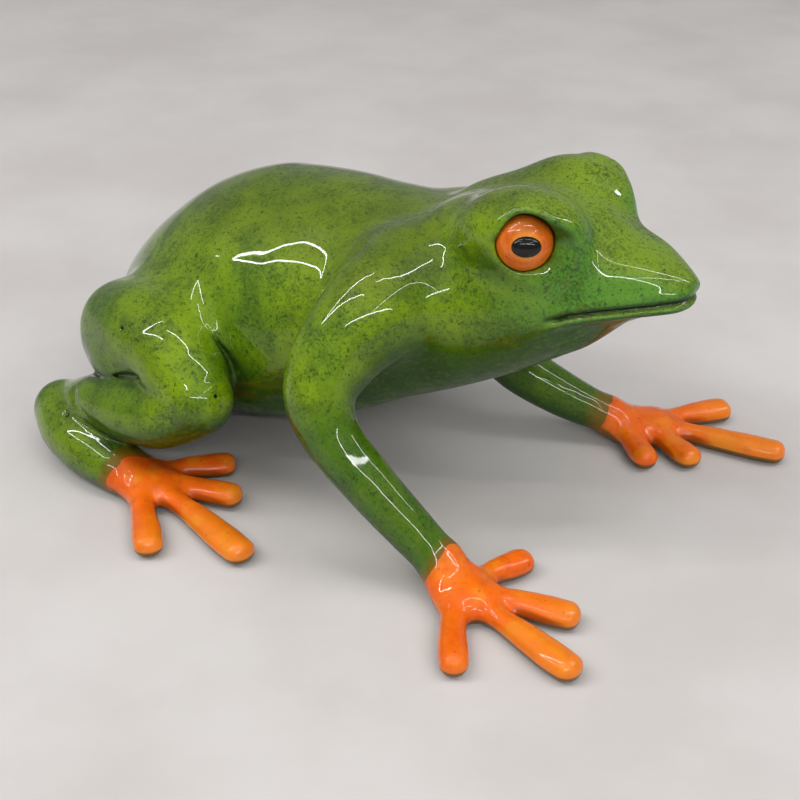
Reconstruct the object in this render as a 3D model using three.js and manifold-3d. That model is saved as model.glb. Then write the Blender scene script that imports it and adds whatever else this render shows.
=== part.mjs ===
// Tree frog figurine: a hollow cast body with separately cast legs and feet,
// joined by round spigots and cross pins, with set-in eyes.  Millimetres,
// +X is where the frog looks, +Y its left side, +Z up, feet on z = 0.
import * as THREE from "three";
import { mergeVertices } from "three/addons/utils/BufferGeometryUtils.js";
import Module from "manifold-3d";

const wasm = await Module();
wasm.setup();

// ---- driving dimensions -------------------------------------------------
const GAP = 0.3; // clearance between two pieces that touch
const WALL = 3.6; // thickness of the hollow body casting
const TORSO_SIDES = 24;
const LIMB_SIDES = 12;
const TOE_SIDES = 8;

const STUB_R = 5.5; // round stubs cast on the body, which the legs sit on
const PIN_R = 1.6; // cross pin through a leg and its stub
const TENON_R = 3; // peg of a foot inside its leg
const TENON_LENGTH = 8;
const EYE_R = 8.6; // ball radius of the orange eye
const SEAT_DEPTH = 5.2; // how deep the eye's round seat goes behind its centre line
const PUPIL_R = [4.2, 3, 1.9]; // half length, half height, half thickness of the bead
const MOUTH_OPEN = 1.4; // height of the mouth slit
const MOUTH_DEPTH = 2.4;
const PLUG_R = 2.6; // plugs that close the core pin holes
const PATCH = [15, 10]; // half length and half width of the belly patch
const TOE_R = 4;

const GREEN = 0x4f9a22;
const ORANGE = 0xf0701c;
const BLACK = 0x0c0c0c;
const BRONZE = 0x9a7440;

// ---- small helpers ------------------------------------------------------
const V = (x, y, z) => new THREE.Vector3(x, y, z);
const flip = (rows) => rows.map(([x, y, ...rest]) => [x, -y, ...rest]);

// Catmull-Rom value of every column of a table of rows, at 0 <= t <= 1.
function between(rows, t) {
  const last = rows.length - 1;
  const at = Math.min(Math.max(t, 0), 1) * last;
  const i = Math.min(Math.floor(at), last - 1);
  const s = at - i;
  const p = [i - 1, i, i + 1, i + 2].map((k) => rows[Math.min(Math.max(k, 0), last)]);
  return rows[0].map((_, c) => {
    const [a, b, d, e] = p.map((row) => row[c]);
    const curve = (-a + 3 * b - 3 * d + e) * s ** 3 + (2 * a - 5 * b + 4 * d - e) * s ** 2;
    return 0.5 * (2 * b + (d - a) * s + curve);
  });
}

// A closed surface through rings of points that all have the same count.
function loft(rings) {
  const sides = rings[0].length;
  const centre = (ring) => ring.reduce((sum, p) => sum.add(p), V(0, 0, 0)).divideScalar(sides);
  const points = [...rings.flat(), centre(rings[0]), centre(rings.at(-1))];
  const start = rings.length * sides;
  const index = [];
  for (let j = 0; j < sides; j++) {
    const k = (j + 1) % sides;
    for (let i = 0; i + 1 < rings.length; i++) {
      const a = i * sides;
      const b = a + sides;
      index.push(a + j, a + k, b + k, a + j, b + k, b + j);
    }
    const end = (rings.length - 1) * sides;
    index.push(start, k, j, start + 1, end + j, end + k);
  }
  const geometry = new THREE.BufferGeometry().setFromPoints(points);
  geometry.setIndex(index);
  return geometry;
}

function solid(geometry) {
  const g = geometry.clone();
  g.deleteAttribute("normal");
  g.deleteAttribute("uv");
  const merged = mergeVertices(g, 1e-4);
  const made = new wasm.Manifold(
    new wasm.Mesh({
      numProp: 3,
      vertProperties: new Float32Array(merged.getAttribute("position").array),
      triVerts: new Uint32Array(merged.index.array),
    }),
  );
  if (made.volume() >= 0) return made;
  const turned = Array.from(merged.index.array);
  for (let i = 0; i < turned.length; i += 3) {
    [turned[i], turned[i + 1]] = [turned[i + 1], turned[i]];
  }
  merged.setIndex(turned);
  return solid(merged);
}

const join = (solids) => solids.reduce((all, next) => all.add(next));

// A body may lose slivers where it is cut: the largest body is the piece.
function largest(body) {
  const bodies = body.decompose();
  return bodies.reduce((best, next) => (next.volume() > best.volume() ? next : best));
}

const group = new THREE.Group();
group.name = "tree_frog_figurine";

function piece(name, body, color, metalness = 0) {
  const { vertProperties, triVerts, numProp } = largest(body).getMesh();
  const position = new Float32Array((vertProperties.length / numProp) * 3);
  for (let i = 0; i < position.length / 3; i++) {
    position.set(vertProperties.subarray(i * numProp, i * numProp + 3), i * 3);
  }
  const geometry = new THREE.BufferGeometry();
  geometry.setAttribute("position", new THREE.BufferAttribute(position, 3));
  geometry.setIndex(new THREE.BufferAttribute(new Uint32Array(triVerts), 1));
  geometry.computeVertexNormals();
  const material = new THREE.MeshStandardMaterial({ color, roughness: 0.3, metalness });
  const mesh = new THREE.Mesh(geometry, material);
  mesh.name = name;
  group.add(mesh);
}

// A rod between two points.
function rod(from, to, radius, sides = 24) {
  const along = to.clone().sub(from);
  const geometry = new THREE.CylinderGeometry(radius, radius, along.length(), sides);
  geometry.translate(0, along.length() / 2, 0);
  const turn = new THREE.Quaternion().setFromUnitVectors(V(0, 1, 0), along.normalize());
  geometry.applyQuaternion(turn);
  geometry.translate(from.x, from.y, from.z);
  return solid(geometry);
}

function ellipsoid(centre, radii, turn = new THREE.Quaternion(), detail = [24, 16]) {
  const geometry = new THREE.SphereGeometry(1, ...detail);
  geometry.scale(...radii);
  geometry.applyQuaternion(turn);
  geometry.translate(centre.x, centre.y, centre.z);
  return solid(geometry);
}

// ---- body ---------------------------------------------------------------
// Each row: top point x z, bottom point x z, half width, height of the widest
// line as a fraction from the bottom, fullness of the upper and lower curve.
const TORSO = [
  [-209, 39, -209, 27, 6, 0.5, 2, 2],
  [-205, 48, -206, 18, 16, 0.48, 2, 2],
  [-197, 58.5, -199, 12, 25, 0.46, 2, 2],
  [-185, 70, -187, 8, 34, 0.44, 2, 2.1],
  [-168, 82.5, -170, 6.5, 41, 0.43, 2, 2.2],
  [-148, 90.5, -150, 7, 46, 0.42, 2, 2.2],
  [-126, 93, -128, 11, 46.5, 0.42, 2, 2.2],
  [-106, 93, -105, 18, 43, 0.45, 2, 2.1],
  [-89, 93.5, -84, 29, 39, 0.5, 2.05, 2.1],
  [-73, 96.5, -66, 38, 36, 0.52, 2.1, 2.1],
  [-57, 99.5, -48, 48, 32.5, 0.48, 2.2, 2],
  [-41, 100.5, -33, 57.5, 27.5, 0.46, 2.3, 1.8],
  [-26, 98.5, -20, 67.5, 21, 0.45, 2.3, 1.7],
  [-13, 95.5, -9, 74, 14.5, 0.45, 2.3, 1.7],
  [-4, 92, -1.5, 78, 8.5, 0.45, 2.2, 1.8],
  [1, 89, 1, 81.5, 3.5, 0.5, 2, 2],
];

const power = (value, n) => Math.sign(value) * Math.abs(value) ** (2 / n);

function torsoRing(row, inset, sides) {
  const [tx, tz, bx, bz, width, middle, nTop, nBottom] = row;
  const top = V(tx, 0, tz);
  const bottom = V(bx, 0, bz);
  const up = top.clone().sub(bottom).normalize();
  const height = top.distanceTo(bottom);
  const centre = bottom.clone().addScaledVector(up, height * middle);
  const ring = [];
  for (let j = 0; j < sides; j++) {
    const angle = (j / sides) * 2 * Math.PI;
    const upper = Math.sin(angle) >= 0;
    const rise = (upper ? height * (1 - middle) : height * middle) - inset;
    const n = upper ? nTop : nBottom;
    const point = centre.clone().addScaledVector(up, rise * power(Math.sin(angle), n));
    point.y += (width - inset) * power(Math.cos(angle), n);
    ring.push(point);
  }
  return ring;
}

function torsoSkin({ inset = 0, from = 0, to = 1, stations = 32, sides = TORSO_SIDES } = {}) {
  const rings = [];
  for (let i = 0; i <= stations; i++) {
    const row = between(TORSO, from + ((to - from) * i) / stations);
    rings.push(torsoRing(row, inset, sides));
  }
  return solid(loft(rings));
}

// The brow over each eye, and the forehead between them.
const BROW = { at: [-46, 16.5, 98.2], radii: [19.4, 14.4, 12.6], dip: 0.16 };
const FOREHEAD = { at: [-43, 0, 97], radii: [18, 11, 9.6] };
function brow(side, grow) {
  const [x, y, z] = BROW.at;
  const turn = new THREE.Quaternion().setFromAxisAngle(V(0, 1, 0), -BROW.dip);
  return ellipsoid(V(x, side * y, z), BROW.radii.map((r) => r + grow), turn, [16, 10]);
}
const forehead = (grow) =>
  ellipsoid(V(...FOREHEAD.at), FOREHEAD.radii.map((r) => r + grow), undefined, [16, 10]);

const outside = (grow) =>
  join([torsoSkin({ inset: -grow }), brow(1, grow), brow(-1, grow), forehead(grow)]);
const cavity = torsoSkin({ inset: WALL, from: 0.09, to: 0.75, stations: 14, sides: 16 });

// ---- limbs --------------------------------------------------------------
// Each row: centre x y z, half width across, half thickness.  `hint` is the
// direction of the thickness.
function limb(rows, { hint = V(0, 0, 1), steps = 3, sides = LIMB_SIDES, caps = [66, 34] } = {}) {
  const count = (rows.length - 1) * steps;
  const at = (i) => between(rows, i / count);
  const rings = [];
  const ring = (centre, across, thick, rx, rz) => {
    const points = [];
    for (let j = 0; j < sides; j++) {
      const angle = (j / sides) * 2 * Math.PI;
      const point = centre.clone().addScaledVector(across, rx * Math.cos(angle));
      points.push(point.addScaledVector(thick, rz * Math.sin(angle)));
    }
    rings.push(points);
  };
  for (let i = 0; i <= count; i++) {
    const row = at(i);
    const centre = V(row[0], row[1], row[2]);
    const before = at(Math.max(i - 0.5, 0));
    const after = at(Math.min(i + 0.5, count));
    const along = V(after[0] - before[0], after[1] - before[1], after[2] - before[2]).normalize();
    const across = hint.clone().cross(along).normalize();
    const thick = along.clone().cross(across).normalize();
    const [, , , rx, rz] = row;
    const round = Math.min(rx, rz);
    const cap = caps.map((deg) => (deg * Math.PI) / 180);
    if (i === 0) {
      for (const a of cap) {
        const c = centre.clone().addScaledVector(along, -round * Math.sin(a));
        ring(c, across, thick, rx * Math.cos(a), rz * Math.cos(a));
      }
    }
    ring(centre, across, thick, rx, rz);
    if (i === count) {
      for (const a of cap.toReversed()) {
        const c = centre.clone().addScaledVector(along, round * Math.sin(a));
        ring(c, across, thick, rx * Math.cos(a), rz * Math.cos(a));
      }
    }
  }
  return solid(loft(rings));
}

const FORELEG_RIGHT = [
  [-80, -24, 77, 17, 15],
  [-82, -38, 74, 16, 15],
  [-87.5, -50, 64, 13.5, 13.5],
  [-88.5, -59, 53.5, 11.2, 11.2],
  [-82.5, -62.5, 42.5, 8.9, 8.9],
  [-69, -63, 30.5, 8, 8],
  [-56, -62, 19, 7.3, 7.3],
  [-45, -61, 9.5, 6.7, 6.2],
];
const FORELEG_LEFT = [
  [-79, 22, 73, 17, 15],
  [-82, 34, 68, 15, 14.5],
  [-90, 42, 56, 12.8, 12.8],
  [-93, 42, 44, 11, 11],
  [-86, 37.5, 33.5, 9.8, 9.8],
  [-72, 34, 24, 9, 9],
  [-55, 37, 15.5, 8, 7.9],
  [-39, 43, 8.5, 6.8, 6.2],
];
const THIGH = [
  [-179, -44, 43, 13, 14.5],
  [-166, -49, 46.5, 13.5, 14.8],
  [-152, -53, 46.8, 13.2, 14],
  [-142, -57, 42.5, 12.3, 12.3],
  [-135.5, -59.5, 37, 11.2, 11.2],
];
const SHANK = [
  [-135.5, -60, 36, 11, 11],
  [-146, -62, 29.5, 10.5, 10.8],
  [-160, -63, 26.6, 9.6, 9.8],
  [-175, -61, 23.4, 8.8, 8.8],
  [-188, -59, 17, 8, 8],
  [-197.5, -57.5, 13, 7.4, 7.4],
];
const TARSUS = [
  [-197.6, -59.5, 13, 8.2, 8.6],
  [-188.5, -65, 11.8, 8.8, 9.4],
  [-176, -69, 10, 8.8, 8.6],
  [-164, -70.5, 8, 8, 7],
];

const RIGHT_ARM_HINT = V(0.7, -0.2, 0.7);
const LEFT_ARM_HINT = V(0.5, 0.75, 0.43);

// ---- feet ---------------------------------------------------------------
// A foot is a palm and four toes.  Each toe: three centres, then the half
// widths of its neck and of its tip.  `wrist` is the point and direction of the
// joint between leg and foot.
const FOREFOOT_RIGHT = {
  wrist: { at: [-44.4, -61.1, 9.3], along: [0.93, -0.1, -0.35] },
  palm: [
    [-45, -61, 9.5, 6.8, 6.3],
    [-39, -63.5, 6, 8.8, 6],
    [-32, -65.5, 4, 8.8, 5],
  ],
  toes: [
    { line: [[-36, -68, 4], [-30, -80, 3.7], [-22.6, -92, 3.6]], neck: 3.9, tip: 4.4 },
    { line: [[-31, -66, 4], [-14, -70.5, 3.7], [5.2, -76.6, 3.6]], neck: 3.3, tip: 5.1 },
    { line: [[-30, -63, 4], [-19, -59.3, 3.9], [-4.6, -56.3, 3.6]], neck: 3.9, tip: 5.2 },
    { line: [[-35, -61, 4.2], [-33, -51, 4], [-28.4, -40.6, 3.6]], neck: 3.3, tip: 4.7 },
  ],
};
const FOREFOOT_LEFT = {
  wrist: { at: [-39.1, 43, 8.5], along: [0.95, 0.25, -0.2] },
  palm: [
    [-39, 43, 8.5, 6.8, 6.2],
    [-33, 47, 5.6, 8.6, 5.6],
    [-27, 51, 4, 8.6, 5],
  ],
  toes: [
    { line: [[-26, 54, 4], [-18, 65, 3.7], [-9.6, 75.4, 3.6]], neck: 3.8, tip: 5.2 },
    { line: [[-24, 52, 4], [-5, 55.5, 3.7], [16.4, 58.8, 3.6]], neck: 3.6, tip: 4.9 },
    { line: [[-25, 48, 4], [-16, 44, 3.9], [-6.9, 39.8, 3.6]], neck: 3.8, tip: 4.8 },
    { line: [[-32.5, 42.8, 5], [-26, 37, 4.2], [-19.2, 31.4, 3.6]], neck: 4.2, tip: 4.6 },
  ],
};
const HIND_FOOT_RIGHT = {
  wrist: { at: [-157.9, -70.2, 6.8], along: [0.94, -0.3, -0.14] },
  palm: [
    [-165, -69, 7.4, 7, 6.4],
    [-158, -69.5, 5.6, 8.8, 5.8],
    [-150, -69, 4, 8.8, 5],
  ],
  toes: [
    { line: [[-154, -72, 4], [-142, -83, 3.7], [-129.6, -95, 3.6]], neck: 3.9, tip: 4.9 },
    { line: [[-149, -70, 4], [-127, -75, 3.7], [-103.6, -82.4, 3.6]], neck: 3.6, tip: 5.3 },
    { line: [[-149, -67, 4], [-137, -63.4, 3.9], [-124, -60.2, 3.9]], neck: 4.1, tip: 5 },
    { line: [[-155, -64, 4.2], [-146.5, -55, 4], [-136.8, -46.6, 4]], neck: 3.3, tip: 5 },
  ],
};
const mirrored = ({ wrist, palm, toes }) => ({
  wrist: { at: flip([wrist.at])[0], along: flip([wrist.along])[0] },
  palm: flip(palm),
  toes: toes.map((each) => ({ ...each, line: flip(each.line) })),
});

function toe({ line, neck, tip }) {
  const widths = [TOE_R, neck, tip];
  const rows = line.map((point, i) => [...point, widths[i], TOE_R * (i < 2 ? 1 : 0.95)]);
  return limb(rows, { steps: 2, sides: TOE_SIDES, caps: [70, 36] });
}

// Everything behind a plane: a large block whose front face is the plane.
function behind(at, along, size = 300) {
  const block = new THREE.BoxGeometry(size, size, size).translate(0, 0, -size / 2);
  block.applyQuaternion(new THREE.Quaternion().setFromUnitVectors(V(0, 0, 1), along));
  return solid(block.translate(at.x, at.y, at.z));
}

const belowFloor = behind(V(-100, 0, 0), V(0, 0, 1), 600);

// The end of a leg and its foot share one shape, which the wrist plane cuts:
// the foot gets a round tenon, the leg a hole for it.
function wristJoint({ wrist, palm, toes }, legEnd) {
  const at = V(...wrist.at);
  const along = V(...wrist.along).normalize();
  const shape = join([limb(palm, { steps: 2 }), ...toes.map(toe)]).subtract(belowFloor);
  const back = behind(at, along);
  const backWithGap = behind(at.clone().addScaledVector(along, GAP), along);
  const peg = (extra) =>
    rod(
      at.clone().addScaledVector(along, 3),
      at.clone().addScaledVector(along, -TENON_LENGTH - extra),
      TENON_R + extra,
      10,
    );
  const whole = legEnd.add(shape.intersect(back));
  return {
    leg: whole.intersect(back).subtract(peg(GAP)),
    foot: shape.subtract(backWithGap).add(peg(0)),
  };
}

// ---- legs on the body ---------------------------------------------------
// `stub` runs from inside the body wall out into the leg, `pin` crosses it.
const HIP_RIGHT = {
  stub: [[-171, -30, 42], [-171, -51, 45]],
  pin: [[-171, -46.5, 22], [-171, -46.5, 54]],
};
const SHOULDER_RIGHT = {
  stub: [[-82, -27, 72], [-84, -47, 68]],
  pin: [[-90, -40.5, 52], [-77, -40.5, 80]],
};
const SHOULDER_LEFT = {
  stub: [[-82, 27, 68], [-85, 44, 62]],
  pin: [[-92, 39.5, 42], [-78, 39.5, 75]],
};
const other = ({ stub, pin }) => ({ stub: flip(stub), pin: flip(pin) });

const stubRod = ([from, to], extra) => {
  const [a, b] = [V(...from), V(...to)];
  const end = b.clone().addScaledVector(b.clone().sub(a).normalize(), extra);
  return rod(a, end, STUB_R + extra, 12);
};
const pinRod = ([from, to], extra) => {
  const [a, b] = [V(...from), V(...to)];
  const end = b.clone().addScaledVector(b.clone().sub(a).normalize(), extra);
  return rod(a, end, PIN_R + extra, 8);
};

const bodyWithGap = outside(GAP);
const stubs = [];
const pinHoles = [];
function mountLeg(name, shape, { stub, pin }) {
  stubs.push(stubRod(stub, 0));
  pinHoles.push(pinRod(pin, GAP));
  const leg = shape.subtract(bodyWithGap).subtract(stubRod(stub, GAP));
  piece(name, leg.subtract(pinRod(pin, GAP)), GREEN);
  const inLeg = pinRod(pin, 0).intersect(shape);
  piece(name.replace("foreleg", "shoulder_pin").replace("hind_leg", "hip_pin"), inLeg, BRONZE, 1);
}

const hindLeg = (side) => {
  const rows = side > 0 ? [THIGH, SHANK].map(flip) : [THIGH, SHANK];
  return join(rows.map((each) => limb(each)));
};

const joints = {
  fore_right: wristJoint(FOREFOOT_RIGHT, limb(FORELEG_RIGHT, { hint: RIGHT_ARM_HINT })),
  fore_left: wristJoint(FOREFOOT_LEFT, limb(FORELEG_LEFT, { hint: LEFT_ARM_HINT })),
  hind_right: wristJoint(HIND_FOOT_RIGHT, limb(TARSUS)),
  hind_left: wristJoint(mirrored(HIND_FOOT_RIGHT), limb(flip(TARSUS))),
};
mountLeg("foreleg_right", joints.fore_right.leg, SHOULDER_RIGHT);
mountLeg("foreleg_left", joints.fore_left.leg, SHOULDER_LEFT);
mountLeg("hind_leg_right", joints.hind_right.leg.add(hindLeg(-1)), HIP_RIGHT);
mountLeg("hind_leg_left", joints.hind_left.leg.add(hindLeg(1)), other(HIP_RIGHT));
piece("forefoot_right", joints.fore_right.foot, ORANGE);
piece("forefoot_left", joints.fore_left.foot, ORANGE);
piece("hind_foot_right", joints.hind_right.foot, ORANGE);
piece("hind_foot_left", joints.hind_left.foot, ORANGE);

// ---- eyes ---------------------------------------------------------------
const EYE = { at: [-42.3, 22.5, 99.5], look: [0.52, 0.83, 0.21] };
const seats = [];
for (const [name, side] of [["right", -1], ["left", 1]]) {
  const at = V(EYE.at[0], side * EYE.at[1], EYE.at[2]);
  const look = V(EYE.look[0], side * EYE.look[1], EYE.look[2]).normalize();
  const turn = new THREE.Quaternion().setFromUnitVectors(V(0, 0, 1), look);
  const floor = at.clone().addScaledVector(look, -SEAT_DEPTH);
  seats.push(rod(floor, at.clone().addScaledVector(look, 20), EYE_R + GAP, 20));

  const ball = ellipsoid(at, [EYE_R, EYE_R, EYE_R], turn, [20, 12]);
  const stem = rod(floor.clone().addScaledVector(look, GAP), at, EYE_R, 20);
  // The bead lies on the ball with its long side level.
  const level = V(0, 0, 1).cross(look).normalize();
  const basis = new THREE.Matrix4().makeBasis(level, look.clone().cross(level), look);
  const lie = new THREE.Quaternion().setFromRotationMatrix(basis);
  const beadAt = at.clone().addScaledVector(look, EYE_R - 0.3);
  const bead = (grow) => ellipsoid(beadAt, PUPIL_R.map((r) => r + grow), lie, [16, 8]);
  const dome = ball.subtract(behind(floor.clone().addScaledVector(look, GAP), look));
  piece("eye_" + name, dome.add(stem).subtract(bead(GAP)), ORANGE);
  piece("pupil_" + name, bead(0), BLACK);
}

// ---- mouth slit ---------------------------------------------------------
const MOUTH = [[-33, 77.2], [-27, 79.6], [-20, 81.1], [-12, 82.4], [-4, 83.4], [6, 84]];
function mouthSlit() {
  const line = new THREE.CatmullRomCurve3(MOUTH.map(([x, z]) => V(x, z, 0))).getPoints(14);
  const half = (i) => (MOUTH_OPEN / 2) * Math.min(1, 0.35 + i / 5);
  const upper = line.map((p, i) => new THREE.Vector2(p.x, p.y + half(i)));
  const lower = line.map((p, i) => new THREE.Vector2(p.x, p.y - half(i)));
  const shape = new THREE.Shape([...lower, ...upper.toReversed()]);
  const sheet = new THREE.ExtrudeGeometry(shape, { depth: 60, bevelEnabled: false, steps: 1 });
  sheet.translate(0, 0, -30).rotateX(Math.PI / 2);
  return solid(sheet).subtract(torsoSkin({ inset: MOUTH_DEPTH }));
}

// ---- body casting, belly patch and plugs --------------------------------
function ellipseBlock([x, y], [z0, z1], [rx, ry]) {
  const shape = new THREE.Shape().absellipse(0, 0, rx, ry, 0, 2 * Math.PI);
  const sweep = { depth: z1 - z0, bevelEnabled: false, curveSegments: 8 };
  return solid(new THREE.ExtrudeGeometry(shape, sweep).translate(x, y, z0));
}
const shell = outside(0).subtract(cavity);
const patchHole = ellipseBlock([-148, 0], [-5, 20], PATCH);
const patchBody = ellipseBlock([-148, 0], [-5, 20], PATCH.map((r) => r - GAP));
piece("belly_patch", shell.intersect(patchBody), GREEN);

const PLUGS = {
  core_plug_chest: [[-78, 0, 25], [-78, 0, 48]],
  core_plug_rump: [[-192, 0, 5], [-188, 0, 24]],
  core_plug_flank_right: [[-114, -46, 16], [-114, -26, 34]],
  core_plug_flank_left: [[-114, 46, 16], [-114, 26, 34]],
};
const plugHoles = [];
for (const [name, [from, to]] of Object.entries(PLUGS)) {
  plugHoles.push(rod(V(...from), V(...to), PLUG_R, 10));
  piece(name, shell.intersect(rod(V(...from), V(...to), PLUG_R - GAP, 10)), BRONZE, 1);
}

const torso = join([shell, ...stubs])
  .subtract(patchHole)
  .subtract(join([...plugHoles, ...pinHoles, ...seats, mouthSlit()]));
piece("torso_casting", torso, GREEN);

// The origin is the middle of the footprint, on the floor.
const box = new THREE.Box3().setFromObject(group);
const middle = box.getCenter(new THREE.Vector3());
group.position.set(-middle.x, -middle.y, -box.min.z);
group.updateMatrixWorld(true);

export default group;
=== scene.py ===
"""Looks of the painted tree-frog figurine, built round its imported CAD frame.

The CAD nodes fix where everything is.  The skin is built again here as a fine
distance field, in millimetres in the design frame (snout at x = 0), and is then
divided into the same pieces as the CAD nodes.
"""

import math

import bpy
import numpy as np
import openvdb as vdb
from mathutils import Matrix, Vector


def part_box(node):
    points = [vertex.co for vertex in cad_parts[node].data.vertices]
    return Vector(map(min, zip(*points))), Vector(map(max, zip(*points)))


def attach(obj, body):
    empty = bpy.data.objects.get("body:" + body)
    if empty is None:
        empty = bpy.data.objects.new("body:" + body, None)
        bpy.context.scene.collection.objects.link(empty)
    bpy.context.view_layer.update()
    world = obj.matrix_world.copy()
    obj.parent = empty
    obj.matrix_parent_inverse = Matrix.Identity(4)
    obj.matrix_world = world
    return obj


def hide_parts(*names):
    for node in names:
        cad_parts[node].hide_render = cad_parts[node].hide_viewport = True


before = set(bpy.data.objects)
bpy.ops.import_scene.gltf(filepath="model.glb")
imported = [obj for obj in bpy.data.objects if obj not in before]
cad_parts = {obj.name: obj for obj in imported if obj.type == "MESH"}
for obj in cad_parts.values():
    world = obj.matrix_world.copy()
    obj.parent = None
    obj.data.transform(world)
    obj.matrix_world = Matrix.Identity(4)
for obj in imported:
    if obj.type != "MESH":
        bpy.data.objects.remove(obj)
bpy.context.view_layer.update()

MM = 0.001
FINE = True
VOXEL = 0.7 if FINE else 1.0  # mm
SHIFT_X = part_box("torso_casting")[1].x / MM - 1.0  # the snout ends at design x = 1
SHIFT = np.array([SHIFT_X, 0.0, 0.0])

# ---- camera ---------------------------------------------------------------
camera = bpy.data.objects.new("camera", bpy.data.cameras.new("camera"))
bpy.context.scene.collection.objects.link(camera)
bpy.context.scene.camera = camera
AZIMUTH, PITCH = math.radians(32.0), math.radians(31.0)
AHEAD = Vector((-math.sin(AZIMUTH), math.cos(AZIMUTH), 0)) * math.cos(PITCH)
AHEAD.z = -math.sin(PITCH)
camera.location = Vector((121.77 + SHIFT_X, -351.05, 266.64)) * MM
camera.rotation_mode = "QUATERNION"
camera.rotation_quaternion = AHEAD.to_track_quat("-Z", "Y")
camera.data.sensor_width = 36
camera.data.lens = 63.66
camera.data.clip_start = 0.01
camera.data.clip_end = 20

# ---- shape tables, mm ------------------------------------------------------
# top x z, bottom x z, half width, height of the widest line, fullness above, below
TORSO = [
    [-209, 39, -209, 27, 6, 0.5, 2, 2],
    [-205, 48, -206, 18, 16, 0.48, 2, 2],
    [-197, 58.5, -199, 12, 25, 0.46, 2, 2],
    [-185, 70, -187, 8, 34, 0.44, 2, 2.1],
    [-168, 82.5, -170, 6.5, 41, 0.43, 2, 2.2],
    [-148, 90.5, -150, 7, 46, 0.42, 2, 2.2],
    [-126, 93, -128, 11, 46.5, 0.42, 2, 2.2],
    [-106, 93, -105, 18, 43, 0.45, 2, 2.1],
    [-89, 93.5, -84, 29, 39, 0.5, 2.05, 2.1],
    [-73, 96.5, -66, 38, 36, 0.52, 2.1, 2.1],
    [-57, 99.5, -48, 48, 32.5, 0.48, 2.2, 2],
    [-41, 100.5, -33, 57.5, 27.5, 0.46, 2.3, 1.8],
    [-26, 98.5, -20, 67.5, 21, 0.45, 2.3, 1.7],
    [-13, 95.5, -9, 74, 14.5, 0.45, 2.3, 1.7],
    [-4, 92, -1.5, 78, 8.5, 0.45, 2.2, 1.8],
    [1, 89, 1, 81.5, 3.5, 0.5, 2, 2],
]
# centre x y z, half width across, half thickness
FORELEG_RIGHT = [
    [-80, -24, 77, 17, 15],
    [-82, -38, 74, 16, 15],
    [-87.5, -50, 64, 13.5, 13.5],
    [-88.5, -59, 53.5, 11.2, 11.2],
    [-82.5, -62.5, 42.5, 8.9, 8.9],
    [-69, -63, 30.5, 8, 8],
    [-56, -62, 19, 7.3, 7.3],
    [-45, -61, 9.5, 6.7, 6.2],
]
FORELEG_LEFT = [
    [-79, 22, 73, 17, 15],
    [-82, 34, 68, 15, 14.5],
    [-90, 42, 56, 12.8, 12.8],
    [-93, 42, 44, 11, 11],
    [-86, 37.5, 33.5, 9.8, 9.8],
    [-72, 34, 24, 9, 9],
    [-55, 37, 15.5, 8, 7.9],
    [-39, 43, 8.5, 6.8, 6.2],
]
THIGH = [
    [-179, -44, 43, 13, 14.5],
    [-166, -49, 46.5, 13.5, 14.8],
    [-152, -53, 46.8, 13.2, 14],
    [-142, -57, 42.5, 12.3, 12.3],
    [-135.5, -59.5, 37, 11.2, 11.2],
]
SHANK = [
    [-135.5, -60, 36, 11, 11],
    [-146, -62, 29.5, 10.5, 10.8],
    [-160, -63, 26.6, 9.6, 9.8],
    [-175, -61, 23.4, 8.8, 8.8],
    [-188, -59, 17, 8, 8],
    [-197.5, -57.5, 13, 7.4, 7.4],
]
TARSUS = [
    [-197.6, -59.5, 13, 8.2, 8.6],
    [-188.5, -65, 11.8, 8.8, 9.4],
    [-176, -69, 10, 8.8, 8.6],
    [-164, -70.5, 8, 8, 7],
]
TOE_R = 4.1
# each toe: three centres, then half widths of its neck and of its tip
FEET = {
    "forefoot_right": {
        "paint": [[-43.5, -64, 12.5], [0.93, -0.1, -0.35]],
        "palm": [[-45, -61, 9.5, 6.8, 6.3], [-39, -63.5, 6, 8.8, 6], [-32, -65.5, 4, 8.8, 5]],
        "toes": [
            [[[-36, -68, 4], [-30, -80, 3.7], [-22.6, -92, 3.6]], 3.9, 4.4],
            [[[-31, -66, 4], [-14, -70.5, 3.7], [5.2, -76.6, 3.6]], 3.3, 5.1],
            [[[-30, -63, 4], [-19, -59.3, 3.9], [-4.6, -56.3, 3.6]], 3.9, 5.2],
            [[[-35, -61, 4.2], [-33, -51, 4], [-28.4, -40.6, 3.6]], 3.3, 4.7],
        ],
    },
    "forefoot_left": {
        "paint": [[-37.5, 39, 11], [0.95, 0.25, -0.2]],
        "palm": [[-39, 43, 8.5, 6.8, 6.2], [-33, 47, 5.6, 8.6, 5.6], [-27, 51, 4, 8.6, 5]],
        "toes": [
            [[[-26, 54, 4], [-18, 65, 3.7], [-9.6, 75.4, 3.6]], 3.8, 5.2],
            [[[-24, 52, 4], [-5, 55.5, 3.7], [16.4, 58.8, 3.6]], 3.6, 4.9],
            [[[-25, 48, 4], [-16, 44, 3.9], [-6.9, 39.8, 3.6]], 3.8, 4.8],
            [[[-32.5, 42.8, 5], [-26, 37, 4.2], [-19.2, 31.4, 3.6]], 4.2, 4.6],
        ],
    },
    "hind_foot_right": {
        "paint": [[-157.0, -68.7, 10], [0.94, -0.3, -0.14]],
        "palm": [[-165, -69, 7.4, 7, 6.4], [-158, -69.5, 5.6, 8.8, 5.8], [-150, -69, 4, 8.8, 5]],
        "toes": [
            [[[-154, -72, 4], [-142, -83, 3.7], [-129.6, -95, 3.6]], 3.9, 4.9],
            [[[-149, -70, 4], [-127, -75, 3.7], [-103.6, -82.4, 3.6]], 3.6, 5.3],
            [[[-149, -67, 4], [-137, -63.4, 3.9], [-124, -60.2, 3.9]], 4.1, 5.0],
            [[[-155, -64, 4.2], [-146.5, -55, 4], [-136.8, -46.6, 4]], 3.3, 5.0],
        ],
    },
}
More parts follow.
